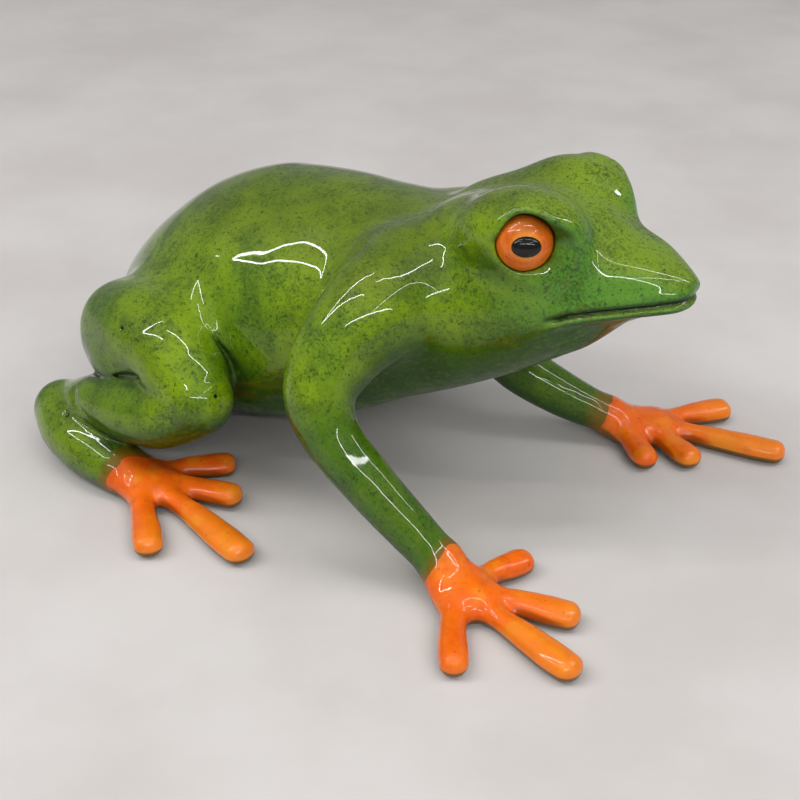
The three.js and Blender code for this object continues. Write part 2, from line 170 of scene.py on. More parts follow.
BROW_AT, BROW_RADII, BROW_DIP = [-46, 16.5, 98.2], [19.6, 14.4, 12.6], 0.16
EYE_AT, EYE_LOOK, EYE_R = [-42.3, 22.5, 99.5], [0.52, 0.83, 0.21], 8.6
PUPIL_R = [4.2, 3.0, 1.9]
MOUTH = [[-33, 77.2], [-27, 79.6], [-20, 81.1], [-12, 82.4], [-4, 83.4], [6, 84]]
RIGHT_ARM_HINT, LEFT_ARM_HINT, UP = (0.7, -0.2, 0.7), (0.5, 0.75, 0.43), (0, 0, 1)
PATCH_AT, PATCH_HALF = (-148, 0), (15, 10)
PLUG_R = 2.6
PLUGS = {
    "core_plug_chest": [[-78, 0, 25], [-78, 0, 48]],
    "core_plug_rump": [[-192, 0, 5], [-188, 0, 24]],
    "core_plug_flank_right": [[-114, -46, 16], [-114, -26, 34]],
    "core_plug_flank_left": [[-114, 46, 16], [-114, 26, 34]],
}
PINS = {
    "hip_pin_right": [[-171, -46.5, 22], [-171, -46.5, 54]],
    "hip_pin_left": [[-171, 46.5, 22], [-171, 46.5, 54]],
    "shoulder_pin_right": [[-90, -40.5, 52], [-77, -40.5, 80]],
    "shoulder_pin_left": [[-92, 39.5, 42], [-78, 39.5, 75]],
}
PIN_R = 1.6


# widths of the fillets, mm
NOSE_FILLET, BROW_FILLET, HEAD_FILLET, NAPE_FILLET = 2.5, 6.0, 10.0, 8.0
SHOULDER_FILLET, WRIST_FILLET, TOE_FILLET = 9.0, 3.0, 4.4
THIGH_FILLET, KNEE_CREASE, HEEL_CREASE = 6.0, 1.0, 1.8
HIP_FILLET = (15.5, 4.5)  # at the back and at the front of the hip
RIGHT_BROW_LIFT = 1.4


def flip(rows):
    """The same limb on the other side."""
    return [[r[0], -r[1], *r[2:]] for r in rows]


# ---- lofted surfaces --------------------------------------------------------
def between(rows, t):
    """Catmull-Rom values of every column of a table at the places t, 0 to 1."""
    table = np.asarray(rows, float)
    at = np.clip(t, 0, 1) * (len(table) - 1)
    i = np.minimum(at.astype(int), len(table) - 2)
    s = (at - i)[:, None]
    a, b, d, e = (table[np.clip(i + k, 0, len(table) - 1)] for k in (-1, 0, 1, 2))
    square, cube = 2 * a - 5 * b + 4 * d - e, -a + 3 * b - 3 * d + e
    return 0.5 * (2 * b + (d - a) * s + square * s**2 + cube * s**3)


def unit(v):
    return v / np.maximum(np.linalg.norm(v, axis=-1, keepdims=True), 1e-9)


def closed_loft(rings):
    """Points and triangles of a tube through rings, closed by a fan at each end."""
    n, m = rings.shape[:2]
    points = np.concatenate([rings.reshape(-1, 3), rings[:1].mean(1), rings[-1:].mean(1)])
    j = np.arange(m)
    k = (j + 1) % m
    tris = []
    for i in range(n - 1):
        a, b = i * m, (i + 1) * m
        tris += [np.stack([a + j, a + k, b + k], 1), np.stack([a + j, b + k, b + j], 1)]
    last = (n - 1) * m
    tris.append(np.stack([np.full(m, n * m), k, j], 1))
    tris.append(np.stack([np.full(m, n * m + 1), last + j, last + k], 1))
    return points, np.concatenate(tris)


def power(value, n):
    return np.sign(value) * np.abs(value) ** (2 / n)


def torso_rings(count, sides):
    row = between(TORSO, np.linspace(0, 1, count))
    tx, tz, bx, bz, width, middle, n_top, n_low = (row[:, c : c + 1] for c in range(8))
    height = np.hypot(tx - bx, tz - bz)
    up_x, up_z = (tx - bx) / height, (tz - bz) / height
    angle = np.linspace(0, 2 * np.pi, sides, endpoint=False)[None]
    upper = np.sin(angle) >= 0
    rise = np.where(upper, height * (1 - middle), height * middle)
    n = np.where(upper, n_top, n_low)
    v = height * middle + rise * power(np.sin(angle), n)
    y = width * power(np.cos(angle), n)
    return np.stack([bx + up_x * v, y, bz + up_z * v], -1)


def limb_rings(rows, hint, count=72, sides=64, caps=12):
    """Rings of a limb: elliptical, with a rounded cap at each end."""
    t = np.linspace(0, 1, count)
    row = between(rows, t)
    centre, radii = row[:, :3], row[:, 3:5]
    d = 0.2 / count
    along = unit(between(rows, t + d)[:, :3] - between(rows, t - d)[:, :3])
    across = unit(np.cross(np.asarray(hint, float), along))
    thick = unit(np.cross(along, across))
    a = np.linspace(np.pi / 2, 0, caps, endpoint=False)[1:]

    def with_caps(middle, first, last):
        return np.concatenate([first, middle, last])

    def swell(i, sign, angles):
        return centre[i] + along[i] * (sign * radii[i].min() * np.sin(angles))[:, None]

    back = a[::-1]
    centre = with_caps(centre, swell(0, -1, a), swell(-1, 1, back))
    radii = with_caps(radii, radii[0] * np.cos(a)[:, None], radii[-1] * np.cos(back)[:, None])
    across = with_caps(across, np.repeat(across[:1], len(a), 0), np.repeat(across[-1:], len(a), 0))
    thick = with_caps(thick, np.repeat(thick[:1], len(a), 0), np.repeat(thick[-1:], len(a), 0))
    angle = np.linspace(0, 2 * np.pi, sides, endpoint=False)
    return (
        centre[:, None]
        + across[:, None] * (radii[:, :1] * np.cos(angle))[..., None]
        + thick[:, None] * (radii[:, 1:] * np.sin(angle))[..., None]
    )


def toe_rows(points, neck, tip):
    """A toe: a broad root, a neck, and a long flattened tip."""
    a, b, c = np.asarray(points, float)
    rows = [[*a, TOE_R + 0.8, TOE_R]]
    rows += [[*(a * 0.45 + b * 0.55), neck, min(neck, TOE_R)]]
    rows += [[*b, (neck + tip) / 2 - 0.2, TOE_R - 0.3]]
    rows += [[*(b * 0.4 + c * 0.6), tip, TOE_R - 0.3]]
    rows += [[*(c - unit(c - b) * 0.6), tip - 0.2, TOE_R - 0.3]]
    return rows


# ---- distance fields on one grid ----------------------------------------------
LOW = np.array([-222.0, -106.0, -9.0])
HIGH = np.array([29.0, 106.0, 121.0])
SIZE = np.ceil((HIGH - LOW) / VOXEL).astype(int)
FAR = 14.0  # mm, distances are known this far from a surface
TRANSFORM = vdb.createLinearTransform(voxelSize=VOXEL)


def field_of(points, tris):
    """Signed distance in mm to a closed surface, on the whole grid."""
    grid = vdb.FloatGrid.createLevelSetFromPolygons(
        np.ascontiguousarray(points - LOW - VOXEL / 2, np.float32),
        triangles=np.ascontiguousarray(tris, np.uint32),
        transform=TRANSFORM,
        halfWidth=FAR / VOXEL,
    )
    out = np.empty(SIZE, np.float32)
    grid.copyToArray(out)
    return out


def axis_values(k):
    shape = [1, 1, 1]
    shape[k] = -1
    return (LOW[k] + (np.arange(SIZE[k]) + 0.5) * VOXEL).astype(np.float32).reshape(shape)


GX, GY, GZ = (axis_values(k) for k in range(3))


def blend(a, b, k):
    """Smooth union of two fields with a fillet about k mm wide."""
    h = np.maximum(k - np.abs(a - b), 0) / k
    return (np.minimum(a, b) - h * h * (k / 4)).astype(np.float32)


def carve(a, b, k):
    """a without b, with the rim rounded by k."""
    return -blend(-a, b, k)


def soft_step(x, low, high):
    s = np.clip((x - low) / (high - low), 0, 1)
    return s * s * (3 - 2 * s)


def bump(x, width):
    return np.exp(-((x / width) ** 2))


def trilinear(values, i, f):
    """Values of a lattice between its corners: cell numbers i, fractions f."""
    out = np.zeros(len(i))
    for dx in (0, 1):
        for dy in (0, 1):
            for dz in (0, 1):
                w = np.abs(1 - dx - f[:, 0]) * np.abs(1 - dy - f[:, 1]) * np.abs(1 - dz - f[:, 2])
                out += w * values[i[:, 0] + dx, i[:, 1] + dy, i[:, 2] + dz]
    return out


def sample(field, points):
    """Values of a field at points in the design frame."""
    at = np.clip((points - LOW) / VOXEL - 0.5, 0, SIZE - 1.001)
    i = at.astype(int)
    return trilinear(field, i, at - i)


def noise_at(points, cell, seed):
    """Smooth random values, about -1 to 1, with features about cell mm wide."""
    count = np.ceil((HIGH - LOW) / cell).astype(int) + 4
    lattice = np.random.default_rng(seed).normal(size=count) * 0.6
    at = (points - LOW) / cell + 1
    i = np.clip(at.astype(int), 0, count - 2)
    f = np.clip(at - i, 0, 1)
    return trilinear(lattice, i, f * f * (3 - 2 * f))


def box_around(at, reach):
    """Slices of the grid within reach mm of a point, and their coordinates."""
    low = np.maximum(((np.asarray(at) - reach - LOW) / VOXEL).astype(int), 0)
    high = np.minimum(((np.asarray(at) + reach - LOW) / VOXEL).astype(int) + 1, SIZE)
    part = tuple(slice(a, b) for a, b in zip(low, high))
    return part, GX[part[0]], GY[:, part[1]], GZ[:, :, part[2]]


def ball_field(at, radii, dip=0.0):
    """Approximate distance to an ellipsoid tipped about Y by dip radians."""
    x, y, z = GX - at[0], GY - at[1], GZ - at[2]
    c, s = math.cos(dip), math.sin(dip)
    x, z = c * x + s * z, -s * x + c * z
    k0 = np.sqrt((x / radii[0]) ** 2 + (y / radii[1]) ** 2 + (z / radii[2]) ** 2)
    k1 = np.sqrt((x / radii[0] ** 2) ** 2 + (y / radii[1] ** 2) ** 2 + (z / radii[2] ** 2) ** 2)
    return np.clip(k0 * (k0 - 1) / np.maximum(k1, 1e-6), -FAR, FAR).astype(np.float32)


def limb_field(rows, hint=UP, **kw):
    return field_of(*closed_loft(limb_rings(rows, hint, **kw)))


def blurred(field):
    for axis in range(3):
        padded = np.concatenate([field.take([0], axis), field, field.take([-1], axis)], axis)
        n = field.shape[axis]
        cut = [slice(None)] * 3
        total = 0
        for k, w in ((0, 0.25), (1, 0.5), (2, 0.25)):
            cut[axis] = slice(k, k + n)
            total = total + w * padded[tuple(cut)]
        field = total.astype(np.float32)
    return field


torso = field_of(*closed_loft(torso_rings(360 if FINE else 180, 256 if FINE else 128)))
torso = blend(torso, ball_field([-4.4, 0, 85.2], [4.9, 5.6, 4.4]), NOSE_FILLET)
brow_left, brow_right = (
    ball_field([BROW_AT[0], s * BROW_AT[1], BROW_AT[2] + lift], BROW_RADII, BROW_DIP)
    for s, lift in ((1, 0), (-1, RIGHT_BROW_LIFT))
)
forehead = ball_field([-43, 0, 97], [18, 11, 9.2])
brows = blend(blend(brow_left, brow_right, BROW_FILLET), forehead, BROW_FILLET)
body = blend(torso, brows, HEAD_FILLET)
for s in (1, -1):
    body = blend(body, ball_field([-62, s * 9, 92.5], [16, 11, 9.5]), NAPE_FILLET)

limbs = {
    "foreleg_right": limb_field(FORELEG_RIGHT, RIGHT_ARM_HINT),
    "foreleg_left": limb_field(FORELEG_LEFT, LEFT_ARM_HINT),
}
hind = {}
for side, sign in (("right", -1), ("left", 1)):
    turn = list if side == "right" else flip
    thigh = blend(limb_field(turn(THIGH)), ball_field([-177, sign * 45, 38], [11, 12, 15]), THIGH_FILLET)
    thigh = blend(thigh, ball_field([-167, sign * 54, 38], [13, 9.6, 7]), THIGH_FILLET - 1)
    leg = blend(thigh, limb_field(turn(SHANK)), KNEE_CREASE)
    hind[side] = blend(leg, limb_field(turn(TARSUS)), HEEL_CREASE)

feet = {}
for name in ("forefoot_right", "forefoot_left", "hind_foot_right", "hind_foot_left"):
    spec = FEET[name.replace("hind_foot_left", "hind_foot_right")]
    turn = flip if name == "hind_foot_left" else list
    foot = limb_field(turn(spec["palm"]), count=24)
    for points, neck, tip in spec["toes"]:
        toe = limb_field(toe_rows(turn(points), neck, tip), count=40, sides=40)
        foot = blend(foot, toe, TOE_FILLET)
    feet[name] = foot

skin = blend(body, limbs["foreleg_right"], SHOULDER_FILLET)
skin = blend(skin, limbs["foreleg_left"], SHOULDER_FILLET)
hip_fillet = HIP_FILLET[0] - (HIP_FILLET[0] - HIP_FILLET[1]) * soft_step(GX + 0 * GZ, -150, -126)
hip_fillet = hip_fillet.astype(np.float32)
for side in ("right", "left"):
    limbs["hind_leg_" + side] = hind[side]
    skin = blend(skin, hind[side], hip_fillet)
for name, foot in feet.items():
    skin = blend(skin, foot, WRIST_FILLET)
skin = blurred(skin)


# ---- details carved into the skin ------------------------------------------------
def mouth_line(x):
    xs, zs = zip(*MOUTH)
    return np.interp(x, xs, zs)


# mouth slit, lips and the hollow under the lower lip
part, x, y, z = box_around([-16, 0, 82], np.array([26, 34, 20]))
above = z - mouth_line(x)
reach = soft_step(x, -34.5, -29.5) * soft_step(skin[part], -5.0, -2.5)
lips = 1.8 * bump(above, 0.66)
lips = lips - 0.55 * bump(above - 2.6, 1.7) - 0.6 * bump(above + 2.1, 1.3)
hollow = soft_step(-above, 3.0, 5.5) * (1 - soft_step(-above, 9.0, 17.0))
lips = lips + (1.0 + 0.9 * soft_step(x, -26, -14)) * hollow
skin[part] += (lips * reach).astype(np.float32)

for s in (1, -1):
    # canthus: the ridge from the brow to the nostril
    ridge = np.array([[-27, s * 17.5, 97], [-14, s * 11.5, 93.5], [-3, s * 6.5, 89]])
    part, x, y, z = box_around([-15, s * 12, 93], np.array([18, 12, 12]))
    t = np.clip((x - ridge[0][0]) / (ridge[2][0] - ridge[0][0]), 0, 1)
    ry, rz = np.interp(t, [0, 0.54, 1], ridge[:, 1]), np.interp(t, [0, 0.54, 1], ridge[:, 2])
    away = np.hypot(y - ry, z - rz)
    fade = bump(t - 0.5, 0.42)
    skin[part] -= (0.8 * bump(away, 4.2) * fade).astype(np.float32)
    # throat
    part, x, y, z = box_around([-27, s * 12, 67], 16)
    away = np.sqrt((x + 28) ** 2 + (y - s * 11) ** 2 + (z - 67) ** 2)
    skin[part] -= (1.1 * bump(away, 6.5)).astype(np.float32)
    # nostril
    part, x, y, z = box_around([-3.5, s * 5.5, 88.3], 6)
    away = np.sqrt((x + 3.5) ** 2 + (y - s * 5.6) ** 2 + (z - 88.3) ** 2)
    skin[part] += (0.5 * bump(away, 0.9)).astype(np.float32)

    # eye seat, with a lid over the upper half
    look = unit(np.array([EYE_LOOK[0], s * EYE_LOOK[1], EYE_LOOK[2]]))
    at = np.array([EYE_AT[0], s * EYE_AT[1], EYE_AT[2]])
    lid_up = unit(np.array([0, 0, 1.0]) - look * look[2])
    part, x, y, z = box_around(at, 19)
    dx, dy, dz = x - at[0], y - at[1], z - at[2]
    deep = dx * look[0] + dy * look[1] + dz * look[2]
    out2 = dx * dx + dy * dy + dz * dz
    r = np.sqrt(np.maximum(out2 - deep * deep, 0))
    lift = (dx * lid_up[0] + dy * lid_up[1] + dz * lid_up[2]) / np.maximum(r, 1)
    ahead = unit(np.array([1.0, 0, 0]) - look * look[0])
    fore = (dx * ahead[0] + dy * ahead[1] + dz * ahead[2]) / np.maximum(r, 1)
    flush = soft_step(-0.8 * fore - 0.6 * lift, -0.35, 0.35)
    lid = 1.2 * soft_step(lift, 0.0, 0.8) * (1 - 0.5 * soft_step(fore, 0.3, 0.9))
    skin[part] -= (lid * bump(r - 10.4, 1.7) * soft_step(deep, -2, 3)).astype(np.float32)
    seat = np.maximum(r - (EYE_R + 0.1 - 0.8 * flush), 2.5 - deep)
    seat = np.minimum(seat, np.sqrt(out2) - (EYE_R + 0.12)).astype(np.float32)
    dish = 3.0 + 0.5 * flush + (r - EYE_R) * 0.42 - deep + 5 * soft_step(lift, -0.1, 0.9)
    skin[part] = carve(skin[part], dish.astype(np.float32), 1.6)
    skin[part] = carve(skin[part], seat, 0.5)

# small casting pits
PITS = [[-161.9, -62.8, 55.9], [-125.8, -62.3, 42.1], [-183.5, -70.8, 20.8]]
for at in PITS:
    part, x, y, z = box_around(at, 5)
    away = np.sqrt((x - at[0]) ** 2 + (y - at[1]) ** 2 + (z - at[2]) ** 2)
    skin[part] += (0.6 * bump(away, 0.9)).astype(np.float32)

# folds: a path on the skin, depth (less than 0 is a ridge) and half width
FOLDS = [
    [
        [[-182, -58, 31], [-174, -62, 35], [-165, -64, 38.5], [-156, -65.5, 41.5], [-149, -67.5, 45]],
        1.3,
        0.9,
    ],
    [
        [[-185, -66, 29], [-181, -70.5, 26.6], [-175.5, -73, 24.5], [-170, -74, 23], [-162, -73, 21.5]],
        1.2,
        1.4,
    ],
    [[[-143, -48.1, 57.6], [-137.5, -47.8, 52.4], [-132.5, -46.8, 46], [-130, -46.4, 40]], 1.0, 1.3],
]


def along_path(way, x, y, z):
    """Distance to a broken line, and the place of the nearest point along it."""
    away, along = 99.0, 0.0
    for i, (a, b) in enumerate(zip(way[:-1], way[1:])):
        d = b - a
        t = np.clip(((x - a[0]) * d[0] + (y - a[1]) * d[1] + (z - a[2]) * d[2]) / (d @ d), 0, 1)
        here = np.sqrt((x - a[0] - t * d[0]) ** 2 + (y - a[1] - t * d[1]) ** 2 + (z - a[2] - t * d[2]) ** 2)
        along = np.where(here < away, i + t, along)
        away = np.minimum(away, here)
    return away, along


for path, depth, width in FOLDS:
    for s in (1, -1):
        way = np.array(path, float) * [1, s, 1]
        middle, reach = (way.max(0) + way.min(0)) / 2, (way.max(0) - way.min(0)) / 2 + 3 * width
        part, x, y, z = box_around(middle, reach)
        away, along = along_path(way, x, y, z)
        fade = soft_step(along, -0.1, 0.6) * soft_step(len(way) - 1 - along, -0.1, 0.8)
        skin[part] += (depth * bump(away, width) * fade).astype(np.float32)

# The feet stand flat on the floor, with a rounded edge.
skin = -blend(-skin, np.broadcast_to(GZ, SIZE).astype(np.float32), 0.8)

# ---- surface of the field ----------------------------------------------------------
grid = vdb.FloatGrid(3 * VOXEL)
grid.copyFromArray(np.ascontiguousarray(np.clip(skin, -3 * VOXEL, 3 * VOXEL)))
grid.transform = TRANSFORM
points, quads = grid.convertToQuads(0.0)
points = points.astype(float) + LOW + VOXEL / 2
quads = quads[:, ::-1].astype(int)
gradient = [g.astype(np.float32) for g in np.gradient(skin, VOXEL)]


def normals_at(p):
    return unit(np.stack([sample(g, p) for g in gradient], 1))


for _ in range(2):
    points -= np.clip(sample(skin, points), -0.5, 0.5)[:, None] * normals_at(points)
print("SKIN", len(points), len(quads))


def groups_of(count, one, two):
    """The lowest number of the connected group that each of count things is in."""
    parent = np.arange(count)
    while True:
        low = np.minimum(parent[one], parent[two])
        new = parent.copy()
        np.minimum.at(new, one, low)
        np.minimum.at(new, two, low)
        new = new[new]
        new = new[new]
        if (new == parent).all():
            return parent
        parent = new


def triangles_of(q):
    return np.concatenate([q[:, [0, 1, 2]], q[:, [0, 2, 3]]])


def volume(p, tri):
    a, b, c = (p[tri[:, k]] for k in range(3))
    return (a * np.cross(b, c)).sum() / 6


if volume(points, triangles_of(quads)) < 0:
    quads = quads[:, ::-1]

# Keep only the outer skin: closed bubbles inside would be stray faces.
edges = np.concatenate([quads[:, [0, 1]], quads[:, [1, 2]], quads[:, [2, 3]]])
shell = groups_of(len(points), edges[:, 0], edges[:, 1])
quads = quads[shell[quads[:, 0]] == np.bincount(shell).argmax()]

# Waves of the hand-worked surface and its lacquer.
normal = normals_at(points)
# how open the skin is around each point, for painted shade in creases
open_air = np.clip(sample(skin, points + normal * 5.0) / 5.0, 0, 1)
on_floor = soft_step(-points[:, 2], -1.5, -0.3)


def wave_values(p):
    """Height of the waves in mm; the legs and feet are a little rougher."""
    small = noise_at(p, 4.2, 13)
    body_waves = 0.10 * noise_at(p, 19, 11) + 0.035 * noise_at(p, 8.5, 12) + 0.013 * small
    leg_waves = soft_step(-p[:, 2], -50, -38) * 0.014 * small
    foot_waves = 0.12 * noise_at(p, 6.0, 14) + 0.05 * noise_at(p, 3.0, 15)
    return body_waves + leg_waves + soft_step(-p[:, 2], -16, -10) * foot_waves


waves = wave_values(points)
step = 0.4
rise = [wave_values(points + step * e) - wave_values(points - step * e) for e in np.eye(3)]
slope = np.stack(rise, 1) / (2 * step)
slope *= (1 - on_floor)[:, None]
slope -= (slope * normal).sum(1, keepdims=True) * normal
points += normal * (waves * (1 - on_floor))[:, None]
points[:, 2] = np.maximum(points[:, 2], 0.0)
normal = unit(normal - slope)

# ---- which piece each face belongs to ----------------------------------------------------
face_at = points[quads].mean(1)
face_normal = normal[quads].mean(1)


def toe_distance(name, p):
    """Distance past the wrist, along the foot, with the ragged edge of the paint."""
    spec = FEET[name.replace("hind_foot_left", "hind_foot_right")]
    at, way = (np.array(v, float) for v in spec["paint"])
    if name == "hind_foot_left":
        at[1], way[1] = -at[1], -way[1]
    ragged = 1.1 * noise_at(p, 5.0, 21) + 0.5 * noise_at(p, 2.2, 22)
    return (p - at) @ unit(way) + ragged


NAMES = ["torso_casting"] + list(limbs) + list(feet) + ["belly_patch"] + list(PLUGS)


def labels_of(p, n):
    """The number in NAMES of the piece that each face centre p, with normal n, is on."""
    label = np.zeros(len(p), int)
    nearest = sample(body, p)
    for i, (name, field) in enumerate(limbs.items(), 1):
        d = sample(field, p)
        mine = d < nearest
        label[mine] = i
        nearest = np.minimum(nearest, d)
    for i, (name, field) in enumerate(feet.items(), 1 + len(limbs)):
        near = (sample(field, p) < 4.0) & (p[:, 2] < 20)
        label[near & (toe_distance(name, p) > 0)] = i
    i = 1 + len(limbs) + len(feet)
    low = (n[:, 2] < -0.3) & (label == 0)
    ring = ((p[:, 0] - PATCH_AT[0]) / PATCH_HALF[0]) ** 2 + ((p[:, 1] - PATCH_AT[1]) / PATCH_HALF[1]) ** 2
    label[low & (ring < 1)] = i
    for name, (a, b) in PLUGS.items():
        i += 1
        a, way = np.array(a, float), unit(np.array(b, float) - a)
        off = p - a
        away = np.linalg.norm(off - (off @ way)[:, None] * way, axis=1)
        label[(away < PLUG_R) & ((n @ way) < -0.3) & ((off @ way) < 20)] = i
    return label


label = labels_of(face_at, face_normal)

# A majority vote over neighbours smooths the borders between pieces.
for _ in range(4):
    votes = np.zeros((len(points), len(NAMES)), np.int16)
    for k in range(4):
        np.add.at(votes, (quads[:, k], label), 1)
    total = votes[quads].sum(1)
    total[np.arange(len(label)), label] += 2
    label = total.argmax(1)

# Islands cut off from their piece go to the neighbour they lie in.
side = np.sort(np.concatenate([quads[:, [k, (k + 1) % 4]] for k in range(4)]), 1)
owner = np.tile(np.arange(len(quads)), 4)
order = np.lexsort((side[:, 1], side[:, 0]))
side, owner = side[order], owner[order]
pair = (side[1:] == side[:-1]).all(1)
one, two = owner[:-1][pair], owner[1:][pair]
for _ in range(6):
    changed = False
    same = label[one] == label[two]
    island = groups_of(len(quads), one[same], two[same])
    for i in range(len(NAMES)):
        groups, sizes = np.unique(island[label == i], return_counts=True)
        if len(groups) < 2:
            continue
        stray = np.isin(island, groups[sizes < sizes.max()]) & (label == i)
        touch = (stray[one] != stray[two]) & (label[one] != label[two])
        other = np.where(stray[one], label[two], label[one])[touch]
        label[stray] = np.bincount(other).argmax() if len(other) else 0
        changed = True
    if not changed:
        break
print("LABELS", {n: int((label == i).sum()) for i, n in enumerate(NAMES)})

# ---- paint masks, one value per point ------------------------------------------------------
foot_far = np.full(len(points), -99.0)
for name, field in feet.items():
    near = (sample(field, points) < 9.0) & (points[:, 2] < 26)
    foot_far = np.maximum(foot_far, np.where(near, toe_distance(name, points), -99.0))
px, py, pz = points.T
# near-black painted shade in the mouth slit and the thigh-shank fold; the casting pits are darkened too
slit = bump(pz - mouth_line(px), 0.5) * soft_step(px, -33.5, -29) * (pz > 74)
for s in (1, -1):
    away, along = along_path(np.array(FOLDS[0][0], float) * [1, s, 1], px, py, pz)
    slit = np.maximum(slit, 0.62 * bump(away, 1.5))
for at in PITS:
    slit = np.maximum(slit, soft_step(-np.linalg.norm(points - at, axis=1), -1.2, -0.5))
for name in ("forefoot_right", "hind_foot_right", "hind_foot_left"):
    sharp = (sample(feet[name], points) < 9.0) & (foot_far < 0)
    foot_far = np.where(sharp, foot_far * 2.2, foot_far)
arm = np.zeros(len(points))
for name in ("foreleg_right", "foreleg_left"):
    arm = np.maximum(arm, soft_step(-sample(limbs[name], points), -4.0, -1.5) * soft_step(-pz, -60, -42))
masks = {
    "m_foot": foot_far,
    "m_crease_shade": open_air,
    "m_arm": arm,
    "m_up": normal[:, 2],
    "m_groove_shade": slit,
    "m_snout": soft_step(px, -62, -14) * soft_step(pz, 60, 74),
    # up-facing back: painted reflection, duller olive
    "m_back_reflection": soft_step(normal[:, 2], 0.35, 0.95) * soft_step(pz, 60, 88),
}

# ---- meshes --------------------------------------------------------------------------------


def make_object(name, verts, faces, normals=None, smooth=True, extra=None):
    mesh = bpy.data.meshes.new(name)
    mesh.from_pydata(((np.asarray(verts) + SHIFT) * MM).tolist(), [], [list(map(int, f)) for f in faces])
    mesh.update()
    if smooth:
        mesh.polygons.foreach_set("use_smooth", [True] * len(mesh.polygons))
    for key, values in (extra or {}).items():
        layer = mesh.attributes.new(key, "FLOAT", "POINT")
        layer.data.foreach_set("value", np.ascontiguousarray(values, np.float32))
    if normals is not None:
        mesh.normals_split_custom_set_from_vertices(normals.tolist())
    obj = bpy.data.objects.new(name, mesh)
    bpy.context.scene.collection.objects.link(obj)
    return obj


def border_loops(faces):
    """Closed loops of directed border edges of a patch of quads."""
    e = np.concatenate([faces[:, [k, (k + 1) % 4]] for k in range(4)])
    have = set(map(tuple, e.tolist()))
    out = {}
    for a, b in have:
        if (b, a) not in have:
            out.setdefault(a, []).append(b)
    loops = []
    while out:
        start = min(out)
        loop, here = [start], start
        while True:
            nexts = out[here]
            step_to = nexts.pop()
            if not nexts:
                del out[here]
            if step_to == start:
                break
            loop.append(step_to)
            here = step_to
        loops.append(loop)
    return loops


def cut_piece(name, index, stem=None):
    """One piece of the skin, closed at each border by a wall, as deep as stem, and a cap."""
    faces = quads[label == index]
    loops = border_loops(faces)
    used, local = np.unique(faces, return_inverse=True)
    local = local.reshape(faces.shape)
    place = {int(v): i for i, v in enumerate(used)}
    verts, norms = [points[used]], [normal[used]]
    extra = {k: [v[used]] for k, v in masks.items()}
    all_faces = [tuple(f) for f in local.tolist()]
    count = len(used)
    for loop in loops:
        ring = points[loop]
        middle = ring.mean(0)
        inward = -normal[loop].mean(0)
        inner = ring * 0.94 + middle * 0.06 + (inward if stem is None else stem)
        centre = inner.mean(0)
        verts += [inner, centre[None]]
        norms += [normal[loop], inward[None]]
        for k in extra:
            extra[k] += [masks[k][loop], masks[k][loop].mean(keepdims=True)]
        n = len(loop)
        outer = [place[v] for v in loop]
        for i in range(n):
            j = (i + 1) % n
            all_faces.append((outer[j], outer[i], count + i, count + j))
            all_faces.append((count + j, count + i, count + n))
        count += n + 1
    extra = {k: np.concatenate(v) for k, v in extra.items()}
    return make_object(name, np.concatenate(verts), all_faces, unit(np.concatenate(norms)), True, extra)


STEMS = {"belly_patch": np.array([0, 0, 3.4])}
for name, (a, b) in PLUGS.items():
    STEMS[name] = unit(np.array(b, float) - np.array(a, float)) * 6.0

pieces = {}
for index, name in enumerate(NAMES):
    obj = cut_piece(name + "_skin", index, STEMS.get(name))
    pieces[name] = obj
    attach(obj, "root")
    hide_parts(name)


# ---- materials -----------------------------------------------------------------------------
def srgb(r, g, b):
    def lin(c):
        c /= 255
        return c / 12.92 if c <= 0.04045 else ((c + 0.055) / 1.055) ** 2.4

    return (lin(r), lin(g), lin(b), 1.0)


class Nodes:
    """A short way to write a material's node tree."""

    def __init__(self, name):
        self.material = bpy.data.materials.new(name)
        self.material.use_nodes = True
        self.tree = self.material.node_tree
        self.shader = self.tree.nodes["Principled BSDF"]
        self.coords = self.tree.nodes.new("ShaderNodeTexCoord").outputs["Object"]

    def put(self, socket, value):
        if isinstance(value, bpy.types.NodeSocket):
            self.tree.links.new(value, socket)
        else:
            socket.default_value = value

    def attr(self, key):
        node = self.tree.nodes.new("ShaderNodeAttribute")
        node.attribute_name = key
        return node.outputs["Fac"]

    def math(self, op, a, b=0.0, clamp=False):
        node = self.tree.nodes.new("ShaderNodeMath")
        node.operation = op
        node.use_clamp = clamp
        self.put(node.inputs[0], a)
        self.put(node.inputs[1], b)
        return node.outputs[0]

    def range(self, value, a, b, c=0.0, d=1.0):
        node = self.tree.nodes.new("ShaderNodeMapRange")
        node.interpolation_type = "SMOOTHSTEP"
        self.put(node.inputs["Value"], value)
        for key, v in (("From Min", a), ("From Max", b), ("To Min", c), ("To Max", d)):
            node.inputs[key].default_value = v
        return node.outputs["Result"]

    def noise(self, size_mm, detail=3.0, rough=0.55):
        node = self.tree.nodes.new("ShaderNodeTexNoise")
        self.put(node.inputs["Vector"], self.coords)
        node.inputs["Scale"].default_value = 1000.0 / size_mm
        node.inputs["Detail"].default_value = detail
        node.inputs["Roughness"].default_value = rough
        return node.outputs["Fac"]

    def cells(self, size_mm):
        node = self.tree.nodes.new("ShaderNodeTexVoronoi")
        self.put(node.inputs["Vector"], self.coords)
        node.inputs["Scale"].default_value = 1000.0 / size_mm
        return node.outputs["Distance"]

    def mix(self, fac, a, b, kind="MIX"):
        node = self.tree.nodes.new("ShaderNodeMix")
        node.data_type = "RGBA"
        node.blend_type = kind
        self.put(node.inputs[0], fac)
        self.put(node.inputs[6], a)
        self.put(node.inputs[7], b)
        return node.outputs[2]

    def bump(self, height, distance_mm, strength=1.0):
        node = self.tree.nodes.new("ShaderNodeBump")
        node.inputs["Strength"].default_value = strength
        node.inputs["Distance"].default_value = distance_mm * MM
        self.put(node.inputs["Height"], height)
        return node.outputs["Normal"]


